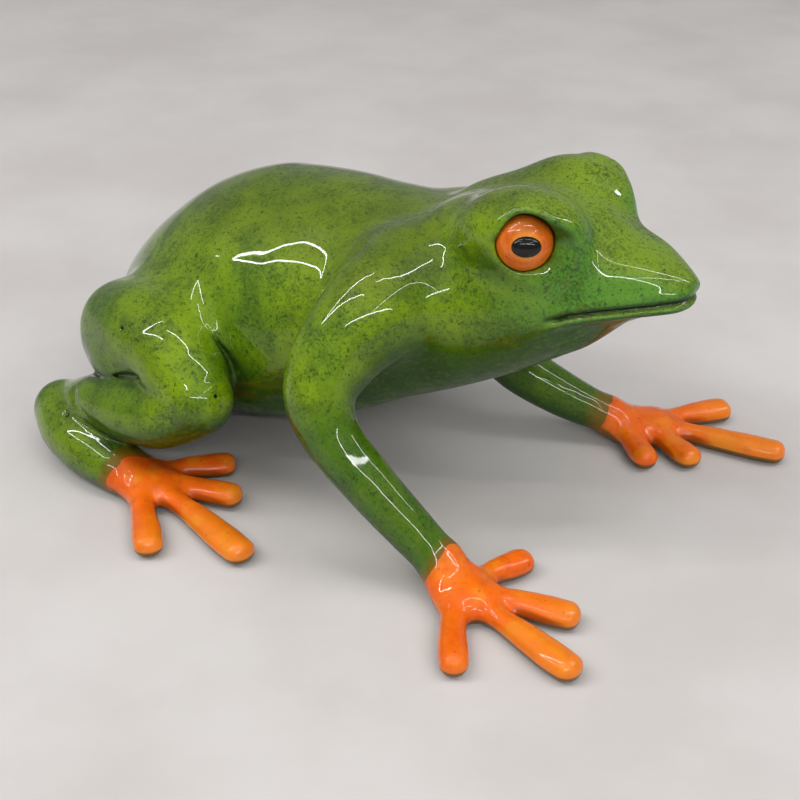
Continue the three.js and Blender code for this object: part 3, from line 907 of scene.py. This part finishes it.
def lacquer(n, coat_roughness=0.035):
    n.shader.inputs["Coat Weight"].default_value = 1.0
    n.shader.inputs["Coat Roughness"].default_value = coat_roughness
    n.shader.inputs["Coat IOR"].default_value = 1.38
    n.shader.inputs["Specular IOR Level"].default_value = 0.12


def skin_paint(name):
    """Green with orange feet; the ragged border lies where m_foot is 0."""
    n = Nodes(name)
    up, air, foot = n.attr("m_up"), n.attr("m_crease_shade"), n.attr("m_foot")
    # green; deep is the painted shade of down-facing undersides
    lime, mid, deep = srgb(122, 152, 0), srgb(88, 124, 2), srgb(18, 70, 0)
    patches = n.noise(26.0, 4.0, 0.6)
    color = n.mix(n.range(patches, 0.36, 0.62), lime, mid)
    clouds = n.noise(6.0, 6.0, 0.7)
    color = n.mix(n.range(clouds, 0.48, 0.7, 0.0, 0.48), color, srgb(60, 90, 4))
    color = n.mix(n.range(n.attr("m_snout"), 0.0, 1.0, 0.0, 0.8), color, srgb(78, 138, 46))
    # painted reflection: duller olive on the up-facing back
    color = n.mix(n.range(n.attr("m_back_reflection"), 0.0, 1.0, 0.0, 0.6), color, srgb(94, 108, 20))
    # painted light: lighter green where the top of the head faces up
    lit_crown = n.math("MULTIPLY", n.range(n.attr("m_snout"), 0.05, 0.5), n.range(up, 0.3, 0.8))
    color = n.mix(n.math("MULTIPLY", lit_crown, 0.7), color, srgb(124, 152, 30))
    color = n.mix(n.math("MULTIPLY", n.attr("m_arm"), 0.75), color, srgb(50, 92, 6))
    # painted shade: dark green on surfaces that face down
    color = n.mix(n.range(up, 0.24, -0.5, 0.0, 0.9), color, deep)
    # painted shade: darker green where the skin is closed in, as in creases
    color = n.mix(n.range(air, 0.72, 0.12, 0.0, 0.9), color, srgb(24, 54, 8))
    # fine dark speckle, denser in places
    density = n.range(n.noise(13.0, 3.0), 0.35, 0.68, 0.02, 0.12)
    speck = n.noise(0.8, 3.0, 0.75)
    soft = n.range(n.math("ADD", speck, density), 0.52, 0.76, 0.0, 0.68)
    color = n.mix(soft, color, srgb(38, 58, 8))
    grain = n.range(n.math("ADD", n.noise(1.9, 3.0, 0.7), density), 0.54, 0.76, 0.0, 0.52)
    color = n.mix(grain, color, srgb(44, 66, 8))
    dots = n.range(n.cells(3.0), 0.07, 0.16, 0.65, 0.0)
    color = n.mix(dots, color, srgb(26, 42, 10))
    spots = n.math("ADD", n.noise(1.5, 2.0, 0.6), n.math("MULTIPLY", density, 0.4))
    color = n.mix(n.range(spots, 0.62, 0.7, 0.0, 0.6), color, srgb(30, 50, 8))
    fine = n.noise(1.9, 4.0, 0.65)
    color = n.mix(n.range(fine, 0.5, 0.72, 0.0, 0.25), color, srgb(134, 160, 16))
    color = n.mix(n.range(foot, -9.0, -1.0, 0.0, 0.75), color, srgb(128, 84, 12))
    # painted shade: near black in the mouth slit and the fold; the pits are dark too
    green = n.mix(n.range(n.attr("m_groove_shade"), 0.3, 0.8), color, srgb(8, 18, 8))
    # orange
    color = n.mix(n.range(n.noise(9.0, 4.0), 0.35, 0.65), srgb(246, 112, 14), srgb(236, 98, 10))
    color = n.mix(n.range(n.noise(3.0, 5.0, 0.65), 0.48, 0.72, 0.0, 0.65), color, srgb(208, 92, 12))
    color = n.mix(n.range(n.noise(10.0, 3.0), 0.5, 0.66, 0.0, 0.6), color, srgb(238, 142, 22))
    color = n.mix(n.range(n.noise(1.0, 3.0, 0.7), 0.55, 0.75, 0.0, 0.4), color, srgb(186, 80, 12))
    color = n.mix(n.range(foot, 20.0, 40.0, 0.0, 0.4), color, srgb(240, 152, 34))
    # painted shade: darker orange where the skin is closed in
    color = n.mix(n.range(air, 0.7, 0.2, 0.0, 0.7), color, srgb(150, 52, 8))
    color = n.mix(n.range(up, 0.0, -0.3, 0.0, 0.9), color, srgb(84, 70, 16))
    color = n.mix(n.range(n.cells(5.2), 0.05, 0.11, 0.4, 0.0), color, srgb(120, 48, 10))
    orange = n.mix(n.range(foot, 3.0, 0.2, 0.0, 0.35), color, srgb(190, 84, 14))
    n.put(n.shader.inputs["Base Color"], n.mix(n.range(foot, -0.22, 0.22), green, orange))
    n.put(n.shader.inputs["Roughness"], n.range(clouds, 0.3, 0.7, 0.35, 0.55))
    n.put(n.shader.inputs["Normal"], n.bump(n.math("ADD", speck, fine), 0.05))
    lacquer(n)
    n.put(n.shader.inputs["Coat Weight"], n.range(up, -0.6, 0.1, 0.4, 1.0))
    return n.material


def bronze(name):
    n = Nodes(name)
    color = n.mix(n.range(n.noise(5.0, 4.0), 0.35, 0.65), srgb(150, 108, 60), srgb(96, 66, 36))
    n.put(n.shader.inputs["Base Color"], color)
    n.shader.inputs["Metallic"].default_value = 1.0
    n.put(n.shader.inputs["Roughness"], n.range(n.noise(1.6), 0.3, 0.7, 0.3, 0.55))
    n.put(n.shader.inputs["Normal"], n.bump(n.noise(1.0), 0.04))
    return n.material


GREEN, ORANGE, BRONZE = skin_paint("green_paint"), skin_paint("orange_paint"), bronze("bronze")
for name, obj in pieces.items():
    foot = name in feet
    obj.data.materials.append(ORANGE if foot else GREEN)

# ---- eyes --------------------------------------------------------------------------------------


def revolved(profile, sides):
    """Points and faces of a closed body turned about Z; the profile runs pole to pole."""
    r, h = np.array(profile, float).T
    angle = np.linspace(0, 2 * np.pi, sides, endpoint=False)
    rings = np.stack([r[:, None] * np.cos(angle), r[:, None] * np.sin(angle), h[:, None] + 0 * angle], -1)
    rings = rings[1:-1]
    n = len(rings)
    verts = np.concatenate([rings.reshape(-1, 3), [[0, 0, h[0]], [0, 0, h[-1]]]])
    faces = []
    for j in range(sides):
        k = (j + 1) % sides
        faces.append((n * sides, k, j))
        for i in range(n - 1):
            faces.append((i * sides + j, i * sides + k, (i + 1) * sides + k, (i + 1) * sides + j))
        faces.append((n * sides + 1, (n - 1) * sides + j, (n - 1) * sides + k))
    return verts, faces


def iris_paint(name):
    n = Nodes(name)
    r = n.attr("m_r")
    color = n.mix(n.range(n.noise(3.0, 4.0), 0.35, 0.65), srgb(226, 112, 20), srgb(206, 92, 14))
    color = n.mix(n.range(r, 0.6, 0.42, 0.0, 0.6), color, srgb(226, 150, 50))
    color = n.mix(n.range(r, 0.86, 1.0, 0.0, 0.7), color, srgb(110, 50, 10))
    # painted shadow of the lid: darker brown over the upper iris
    color = n.mix(n.range(n.attr("m_lid_shadow"), 0.25, 0.8, 0.0, 0.6), color, srgb(120, 78, 26))
    color = n.mix(n.range(n.noise(0.7, 3.0), 0.58, 0.75, 0.0, 0.4), color, srgb(110, 50, 12))
    n.put(n.shader.inputs["Base Color"], color)
    n.put(n.shader.inputs["Roughness"], n.range(n.noise(2.0), 0.3, 0.7, 0.3, 0.5))
    n.put(n.shader.inputs["Normal"], n.bump(n.noise(1.2), 0.03))
    lacquer(n, 0.03)
    return n.material


def black_paint(name):
    n = Nodes(name)
    color = n.mix(n.range(n.noise(1.5), 0.3, 0.7), srgb(8, 8, 8), srgb(22, 20, 18))
    n.put(n.shader.inputs["Base Color"], color)
    n.put(n.shader.inputs["Roughness"], n.range(n.noise(1.0), 0.3, 0.7, 0.25, 0.4))
    lacquer(n, 0.02)
    n.shader.inputs["Specular IOR Level"].default_value = 0.05
    return n.material


IRIS, BLACK = iris_paint("iris_paint"), black_paint("black_paint")
for side, s in (("right", -1), ("left", 1)):
    look = unit(np.array([EYE_LOOK[0], s * EYE_LOOK[1], EYE_LOOK[2]]))
    up = unit(np.array([0, 0, 1.0]) - look * look[2])
    level = np.cross(up, look)
    turn = np.stack([level, up, look])
    at = np.array([EYE_AT[0], s * EYE_AT[1], EYE_AT[2]])
    angle = np.linspace(0, np.pi, 60)
    ball = np.stack([EYE_R * np.sin(angle), -EYE_R * np.cos(angle)], 1)
    # a stem behind the dome instead of the back half of the ball
    ball[:, 1] = np.maximum(ball[:, 1], -4.9)
    verts, faces = revolved(ball, 96)
    r = np.hypot(verts[:, 0], verts[:, 1]) / EYE_R
    # upper half of the dome, where the lid's painted shadow goes
    lid = np.where(verts[:, 2] > 0, verts[:, 1] / EYE_R, 0)
    shade = {"m_r": r, "m_lid_shadow": lid}
    obj = make_object("eye_" + side + "_dome", verts @ turn + at, faces, None, True, shade)
    obj.data.materials.append(IRIS)
    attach(obj, "root")
    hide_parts("eye_" + side)
    angle = np.linspace(0, np.pi, 40)
    verts, faces = revolved(np.stack([np.sin(angle), -np.cos(angle)], 1), 64)
    bead = at + look * (EYE_R - 0.3)
    obj = make_object("pupil_" + side + "_bead", (verts * np.array(PUPIL_R)) @ turn + bead, faces)
    obj.data.materials.append(BLACK)
    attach(obj, "root")
    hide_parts("pupil_" + side)

# ---- cross pins, hidden in the joints ------------------------------------------------------------
for name, (a, b) in PINS.items():
    a, b = np.array(a, float), np.array(b, float)
    w = unit(b - a)
    a += 3.0 * w  # the end is set below the skin and filled over
    length = np.linalg.norm(b - a)
    u = unit(np.cross(w, [0.3, 0.9, 0.1]))
    profile = [[0, 0], [PIN_R - 0.3, 0], [PIN_R, 0.3]]
    profile += [[PIN_R, length - 0.3], [PIN_R - 0.3, length], [0, length]]
    verts, faces = revolved(profile, 40)
    obj = make_object(name + "_rod", verts @ np.stack([u, np.cross(w, u), w]) + a, faces, None, False)
    obj.data.materials.append(BRONZE)
    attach(obj, "root")
    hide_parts(name)

# ---- floor and lights ----------------------------------------------------------
FLOOR_HALF = 3  # m
corners = [(x * FLOOR_HALF, y * FLOOR_HALF, 0) for x, y in ((-1, -1), (1, -1), (1, 1), (-1, 1))]
floor_mesh = bpy.data.meshes.new("floor")
floor_mesh.from_pydata(corners, [], [(0, 1, 2, 3)])
floor = bpy.data.objects.new("floor", floor_mesh)
bpy.context.scene.collection.objects.link(floor)
n = Nodes("floor")
color = n.mix(n.range(n.noise(90.0, 5.0), 0.3, 0.7), srgb(212, 207, 204), srgb(201, 195, 191))
n.put(n.shader.inputs["Base Color"], color)
n.shader.inputs["Roughness"].default_value = 0.6
floor_mesh.materials.append(n.material)

studio = bpy.data.worlds.new("studio")
studio.use_nodes = True
studio.node_tree.nodes["Background"].inputs[0].default_value = (0.92, 0.95, 1, 1)
studio.node_tree.nodes["Background"].inputs[1].default_value = 0.28
bpy.context.scene.world = studio
bpy.context.scene.view_settings.view_transform = "Standard"


AIM = Vector((0, 0, 0.05))  # the middle of the frog, m


def area(name, at, size, watts):
    """A rectangular area light that faces the frog and isn't seen itself."""
    light = bpy.data.lights.new(name, "AREA")
    light.shape = "RECTANGLE"
    light.size, light.size_y = size
    light.energy = watts
    obj = bpy.data.objects.new(name, light)
    obj.location = at
    obj.rotation_mode = "QUATERNION"
    obj.rotation_quaternion = (AIM - Vector(at)).to_track_quat("-Z", "Y")
    obj.visible_camera = False
    bpy.context.scene.collection.objects.link(obj)
    return obj


def strip(name, ends, width, watts):
    """A strip light between two points, facing the frog."""
    a, b = (Vector(p) for p in ends)
    middle = (a + b) / 2
    light = area(name, middle, ((b - a).length, width), watts)
    facing = (middle - AIM).normalized()
    along = (b - a - (b - a).dot(facing) * facing).normalized()
    turn = Matrix((along, facing.cross(along), facing)).transposed()
    light.rotation_quaternion = turn.to_quaternion()


area("soft", (0.4, -0.7, 2.2), (3.2, 3.2), 8.4)
strip("front", [(1.31, -0.41, 0.66), (0.16, -1.27, 0.86)], 0.032, 5.3)
strip("near", [(-1.03, -0.76, 0.86), (0.05, -0.72, 1.38)], 0.026, 4.6)
strip("left", [(-1.04, -0.75, 0.85), (-0.25, 0.02, 1.53)], 0.026, 4.6)
strip("far", [(1.07, 0.65, 0.86), (0.11, -0.24, 1.53)], 0.026, 4.6)
strip("right", [(1.24, -1.50, 1.3), (1.14, 0.90, 1.3)], 0.02, 4.5)
